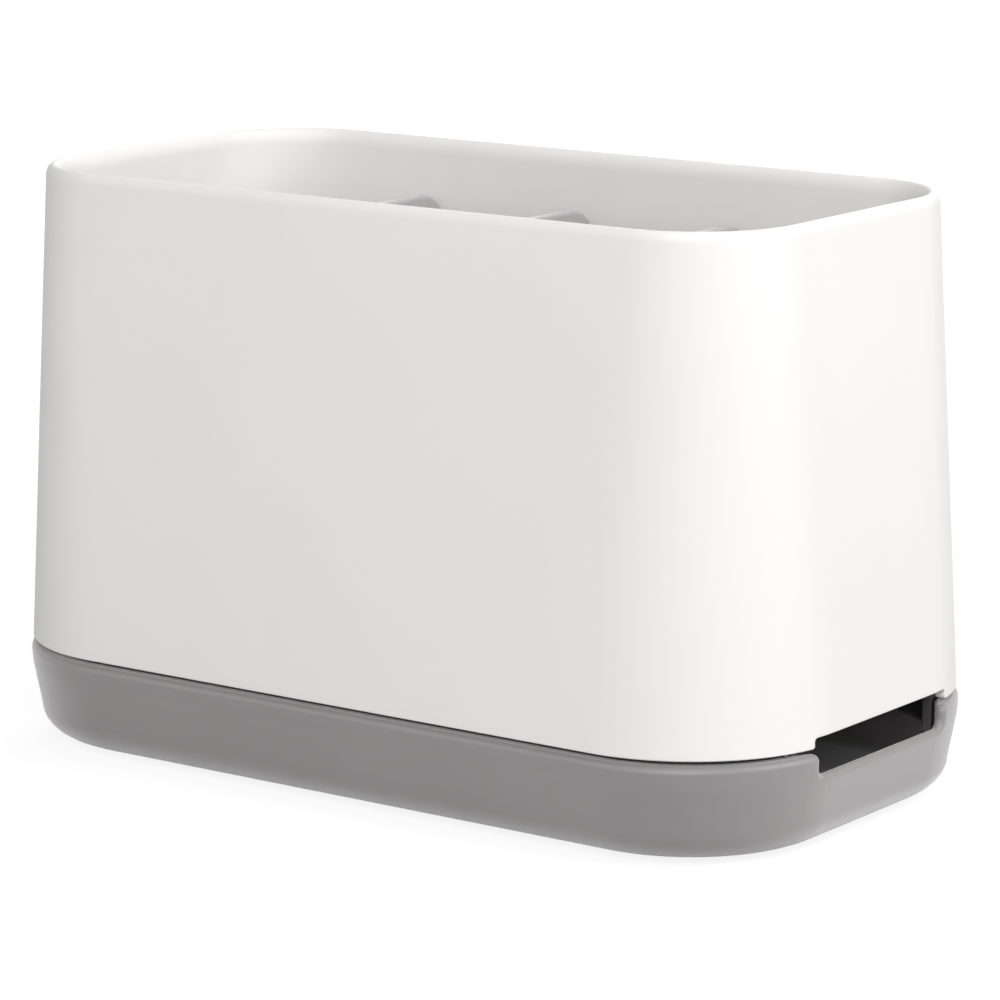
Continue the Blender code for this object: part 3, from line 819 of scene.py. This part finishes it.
def panel_tree():
    """An upright panel across X with round top corners, standing with its middle at Place."""
    names = ("Width", "Foot", "Height", "Thickness", "Top corner", "Foot corner", "Place")
    tree, sizes = start_tree("upright_panel", names)
    outline = add_node(tree, "GeometryNodeCurvePrimitiveQuadrilateral",
                       feeds={"Width": sizes["Width"], "Height": sizes["Height"]})
    position = add_node(tree, "GeometryNodeInputPosition")
    split = add_node(tree, "ShaderNodeSeparateXYZ", feeds={0: position})
    upper = add_node(tree, "ShaderNodeMath", {"operation": "GREATER_THAN"},
                     {0: split.outputs["Y"], 1: 0.0})
    corner = add_node(tree, "ShaderNodeMapRange",
                      feeds={"Value": upper, "To Min": sizes["Foot corner"],
                             "To Max": sizes["Top corner"]})
    rounded = add_node(tree, "GeometryNodeFilletCurve", {"mode": "POLY"},
                       {"Curve": outline, "Count": DIVIDER_CORNER_STEPS, "Radius": corner})
    face = add_node(tree, "GeometryNodeFillCurve", {"mode": "NGONS"}, {"Curve": rounded})
    across = add_node(tree, "ShaderNodeCombineXYZ", feeds={2: 1.0})
    raised = add_node(tree, "GeometryNodeExtrudeMesh",
                      feeds={"Mesh": face, "Offset": across, "Offset Scale": sizes["Thickness"],
                             "Individual": False})
    back = add_node(tree, "GeometryNodeFlipFaces", feeds={"Mesh": face})
    both = add_node(tree, "GeometryNodeJoinGeometry", feeds={0: raised})
    tree.links.new(back.outputs[0], both.inputs[0])
    closed = add_node(tree, "GeometryNodeMergeByDistance",
                      feeds={"Geometry": both, "Distance": WELD})
    low_x = add_node(tree, "ShaderNodeMath", {"operation": "MULTIPLY_ADD"},
                     {0: sizes["Thickness"], 1: -0.5, 2: sizes["Place"]})
    middle_z = add_node(tree, "ShaderNodeMath", {"operation": "MULTIPLY_ADD"},
                        {0: sizes["Height"], 1: 0.5, 2: sizes["Foot"]})
    stand = add_node(tree, "ShaderNodeCombineXYZ", feeds={0: low_x, 2: middle_z})
    stood = add_node(tree, "GeometryNodeTransform",
                     feeds={"Geometry": closed, "Translation": stand,
                            "Rotation": (math.pi / 2, 0.0, math.pi / 2)})
    end_tree(tree, stood, sizes["Material"])
    return tree


# The dividers' material: the grey made paler, as painted light.
painted_light_polypropylene = moulded_plastic("grey_polypropylene_lightened_as_painted_light", LIGHTENED_GREY_LIGHT,
                                     LIGHTENED_GREY_DEEP, GREY_ROUGHNESS, LIGHTENED_GREY_SHEEN)
upright_panel = panel_tree()
for side, (divider_low, divider_high) in divider_boxes.items():
    panel_sizes = {
        "Width": divider_high.y - divider_low.y,
        "Foot": divider_low.z,
        "Height": divider_high.z - divider_low.z,
        "Thickness": divider_high.x - divider_low.x,
        "Top corner": DIVIDER_TOP_CORNER,
        "Foot corner": DIVIDER_FOOT_CORNER,
        "Place": (divider_low.x + divider_high.x) / 2,
    }
    blank = bpy.data.meshes.new(f"{side}_panel")
    panel = grow(f"{side}_panel", blank, upright_panel, painted_light_polypropylene, panel_sizes,
                 edge_round=DIVIDER_EDGE)
    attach(panel, f"{side}_divider")
    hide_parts(f"divider_{side}")


# Outer sleeve
# The open white sleeve that hides the floor: polypropylene, moulded with a draft that narrows
# it towards its thicker, rounded rim. It stands on the studs of the tray's rim by its own
# weight, so that a dark line runs between the two, with a low notch over the tray's at each end.
SLEEVE_SET_IN = 0.4 * MM
SLEEVE_LEAN = 6.1 * MM
SLEEVE_TIGHTEN = 3.6 * MM
SLEEVE_FOOT_WALL = 2.2 * MM
SLEEVE_FOOT_OUTSIDE_ROUND = 0.3 * MM
SLEEVE_FOOT_INSIDE_ROUND = 0.4 * MM
SLEEVE_RIM_WALL = 3.0 * MM
SLEEVE_RIM_OUTSIDE_WIDE = 1.4 * MM
SLEEVE_RIM_OUTSIDE_HIGH = 2.0 * MM
SLEEVE_RIM_INSIDE_HIGH = 3.2 * MM
SLEEVE_NOTCH_HALF_WIDTH = 22.8 * MM
SLEEVE_NOTCH_HEIGHT = 1.9 * MM
SLEEVE_NOTCH_INSIDE_CORNER = 0.8 * MM
SLEEVE_NOTCH_OUTSIDE_CORNER = 0.7 * MM
SLEEVE_BLEND_HEIGHT = 6.0 * MM
SLEEVE_LEVELS = 6
WHITE_LIGHT = "F5F4F3"
WHITE_DEEP = "F3F2F1"
WHITE_ROUGHNESS = 0.6
WHITE_SHEEN = 0.0

sleeve_low, sleeve_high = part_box("outer_sleeve")
sleeve_rise = sleeve_high.z - sleeve_low.z


def sleeve_outside(height):
    """How far the sleeve's outer face is set in from the tray's plan at a height."""
    return SLEEVE_SET_IN + SLEEVE_LEAN * (height - sleeve_low.z) / sleeve_rise


def sleeve_inside(height):
    """How far the sleeve's inner face is set in from the tray's plan at a height."""
    share = (height - sleeve_low.z) / (sleeve_rise - SLEEVE_RIM_INSIDE_HIGH)
    return sleeve_outside(height) + SLEEVE_FOOT_WALL + (SLEEVE_RIM_WALL - SLEEVE_FOOT_WALL) * share


def sleeve_rows():
    """The sleeve's wall, up its outer face, over the rim and down inside."""
    foot = sleeve_low.z
    rim = sleeve_high.z
    between = QUARTERS[:-1]
    blend_top = foot + SLEEVE_BLEND_HEIGHT
    straight_top = rim - SLEEVE_RIM_OUTSIDE_HIGH
    inside_top = rim - SLEEVE_RIM_INSIDE_HIGH
    inside_wide = SLEEVE_RIM_WALL - SLEEVE_RIM_OUTSIDE_WIDE
    shares = [step / SLEEVE_LEVELS for step in range(1, SLEEVE_LEVELS)]
    rows = []
    for slow, fast in quarter_round(SMALL_ROUND_STEPS):
        deep = SLEEVE_FOOT_OUTSIDE_ROUND * (1 - fast)
        rows.append(edge_row(SLEEVE_FOOT_OUTSIDE_ROUND * slow, foot, 1,
                             lambda height, deep=deep: sleeve_outside(height) + deep))
    for share in between:
        rows.append(blend_row(SLEEVE_FOOT_OUTSIDE_ROUND, SLEEVE_BLEND_HEIGHT, share, foot, 1,
                              sleeve_outside))
    for share in [0.0] + shares:
        height = blend_top + (straight_top - blend_top) * share
        rows.append(plain_row(sleeve_outside(height), height))
    for slow, fast in quarter_round():
        height = straight_top + SLEEVE_RIM_OUTSIDE_HIGH * fast
        rows.append(plain_row(sleeve_outside(height) + SLEEVE_RIM_OUTSIDE_WIDE * slow, height))
    for slow, fast in quarter_round()[1:]:
        height = rim - SLEEVE_RIM_INSIDE_HIGH * slow
        deep = SLEEVE_RIM_OUTSIDE_WIDE + inside_wide * fast
        rows.append(plain_row(sleeve_outside(height) + deep, height))
    for share in shares + [1.0]:
        height = inside_top + (blend_top - inside_top) * share
        rows.append(plain_row(sleeve_inside(height), height))
    for share in reversed(between):
        rows.append(blend_row(SLEEVE_FOOT_INSIDE_ROUND, SLEEVE_BLEND_HEIGHT, share, foot, 1,
                              sleeve_inside))
    for slow, fast in quarter_round(SMALL_ROUND_STEPS):
        back = SLEEVE_FOOT_INSIDE_ROUND * slow
        rows.append(edge_row(SLEEVE_FOOT_INSIDE_ROUND * (1 - fast), foot, 1,
                             lambda height, back=back: sleeve_inside(height) - back))
    return rows


white_polypropylene = moulded_plastic("moulded_white_polypropylene", WHITE_LIGHT, WHITE_DEEP,
                                      WHITE_ROUGHNESS, WHITE_SHEEN)
sleeve_notch = notch_columns(SLEEVE_NOTCH_HALF_WIDTH, SLEEVE_NOTCH_HEIGHT,
                             SLEEVE_NOTCH_INSIDE_CORNER, SLEEVE_NOTCH_OUTSIDE_CORNER,
                             SLEEVE_FOOT_OUTSIDE_ROUND)
sleeve_columns = plan_columns(tray_plan, sleeve_notch)
sleeve_wall = flat_wall("sleeve_wall", tray_plan, sleeve_columns, sleeve_rows(), closed=True)
narrowing = {
    "Tighten": SLEEVE_TIGHTEN,
    "Foot": sleeve_low.z,
    "Rise": sleeve_rise,
    "Place": 0.0,
}
sleeve = grow("sleeve_moulding", sleeve_wall, wrap_round_plan, white_polypropylene,
              {**tray_plan, **narrowing})
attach(sleeve, "sleeve")
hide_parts("outer_sleeve")


# Camera
# A long lens at the photograph's angle, a little above the rim and off the front right corner.
# Its place was fitted to where the rim, the sleeve's foot and the tray lie in the photograph.
CAMERA_AIM = Vector((3.62, 0.43, 52.2)) * MM
CAMERA_DISTANCE = 875.8 * MM
CAMERA_AZIMUTH = math.radians(36.295)
CAMERA_ELEVATION = math.radians(11.744)
CAMERA_ROLL = math.radians(-0.1145)
CAMERA_LENS = 162.2
CAMERA_SENSOR = 36.0

camera_data = bpy.data.cameras.new("camera")
camera_data.lens = CAMERA_LENS
camera_data.sensor_width = CAMERA_SENSOR
camera = bpy.data.objects.new("camera", camera_data)
bpy.context.scene.collection.objects.link(camera)
back = Vector((math.sin(CAMERA_AZIMUTH) * math.cos(CAMERA_ELEVATION),
               -math.cos(CAMERA_AZIMUTH) * math.cos(CAMERA_ELEVATION),
               math.sin(CAMERA_ELEVATION)))
side_on = Vector((math.cos(CAMERA_AZIMUTH), math.sin(CAMERA_AZIMUTH), 0))
turned_view = Matrix((side_on, back.cross(side_on), back)).transposed().to_4x4()
camera.matrix_world = (Matrix.Translation(CAMERA_AIM + CAMERA_DISTANCE * back) @ turned_view
                       @ Matrix.Rotation(CAMERA_ROLL, 4, "Z"))
bpy.context.scene.camera = camera


# Floor and light
# A plain pale floor under a white surround, lit by soft boxes. Seen directly the floor is
# nearly white by itself and takes only a faint shadow, and it turns white away from the object.
FLOOR_HALF = 4.0
FLOOR_PALE = "B4B4B4"
FLOOR_SHADED = (0.25, 0.25, 0.25, 1.0)
FLOOR_GLOW_NEAR = 0.85
FLOOR_GLOW_FAR = 1.0
NEAR_REACH = 0.25
FAR_REACH = 0.8
WHITE = (1.0, 1.0, 1.0, 1.0)
AMBIENT = 0.08
LAMP_AIM = Vector((0.0, 0.0, 60.0)) * MM
LAMP_DISTANCE = 1.2
LAMP_SIZE = 0.7

bpy.context.scene.view_settings.view_transform = "Standard"


def seen_directly(tree):
    """1 for the rays that see a surface itself, in the picture, in gloss or through glass."""
    rays = add_node(tree, "ShaderNodeLightPath").outputs
    seen = add_node(tree, "ShaderNodeMath", {"operation": "MAXIMUM"},
                    {0: rays["Is Camera Ray"], 1: rays["Is Glossy Ray"]})
    return add_node(tree, "ShaderNodeMath", {"operation": "MAXIMUM"},
                    {0: seen, 1: rays["Is Transmission Ray"]})


floor_material = bpy.data.materials.new("pale_floor")
floor_material.use_nodes = True
floor_tree = floor_material.node_tree
floor_tree.nodes.clear()
floor_place = add_node(floor_tree, "ShaderNodeTexCoord").outputs["Object"]
floor_reach = add_node(floor_tree, "ShaderNodeVectorMath", {"operation": "LENGTH"},
                       {0: floor_place})
floor_glow = add_node(floor_tree, "ShaderNodeMapRange",
                      feeds={"Value": floor_reach.outputs["Value"], "From Min": NEAR_REACH,
                             "From Max": FAR_REACH, "To Min": FLOOR_GLOW_NEAR,
                             "To Max": FLOOR_GLOW_FAR})
plain_floor = add_node(floor_tree, "ShaderNodeBsdfDiffuse", feeds={"Color": srgb(FLOOR_PALE)})
shaded_floor = add_node(floor_tree, "ShaderNodeBsdfDiffuse", feeds={"Color": FLOOR_SHADED})
glowing_floor = add_node(floor_tree, "ShaderNodeEmission", feeds={"Strength": floor_glow})
seen_floor = add_node(floor_tree, "ShaderNodeAddShader",
                      feeds={0: shaded_floor, 1: glowing_floor})
floor_shader = add_node(floor_tree, "ShaderNodeMixShader",
                        feeds={0: seen_directly(floor_tree), 1: plain_floor, 2: seen_floor})
add_node(floor_tree, "ShaderNodeOutputMaterial", feeds={"Surface": floor_shader})
floor_mesh = bpy.data.meshes.new("floor")
floor_corners = [(x * FLOOR_HALF, y * FLOOR_HALF, 0.0)
                 for x, y in ((-1, -1), (1, -1), (1, 1), (-1, 1))]
floor_mesh.from_pydata(floor_corners, [], [(0, 1, 2, 3)])
floor_mesh.materials.append(floor_material)
floor = bpy.data.objects.new("floor", floor_mesh)
bpy.context.scene.collection.objects.link(floor)

world = bpy.data.worlds.new("white_surround")
bpy.context.scene.world = world
world.use_nodes = True
world_tree = world.node_tree
world_tree.nodes.clear()
seen_world = add_node(world_tree, "ShaderNodeBackground",
                      feeds={"Color": WHITE, "Strength": 1.0})
plain_world = add_node(world_tree, "ShaderNodeBackground",
                       feeds={"Color": WHITE, "Strength": AMBIENT})
world_shader = add_node(world_tree, "ShaderNodeMixShader",
                        feeds={0: seen_directly(world_tree), 1: plain_world, 2: seen_world})
add_node(world_tree, "ShaderNodeOutputWorld", feeds={"Surface": world_shader})

SOFT_BOXES = {
    "front_right_box": (-60, 25, 8.0),
    "right_box": (14, 32, 8.9),
    "back_left_box": (112, 27, 4.3),
    "front_left_box": (-125, 25, 2.3),
    "overhead_box": (90, 85, 1.5),
}
for name, (turn, lift, power) in SOFT_BOXES.items():
    turn = math.radians(turn)
    lift = math.radians(lift)
    toward = Vector((math.cos(turn) * math.cos(lift), math.sin(turn) * math.cos(lift),
                     math.sin(lift)))
    lamp_data = bpy.data.lights.new(name, "AREA")
    lamp_data.size = LAMP_SIZE
    lamp_data.energy = power
    lamp = bpy.data.objects.new(name, lamp_data)
    lamp.location = LAMP_AIM + LAMP_DISTANCE * toward
    lamp.rotation_euler = toward.to_track_quat("Z", "Y").to_euler()
    lamp.visible_camera = False
    bpy.context.scene.collection.objects.link(lamp)
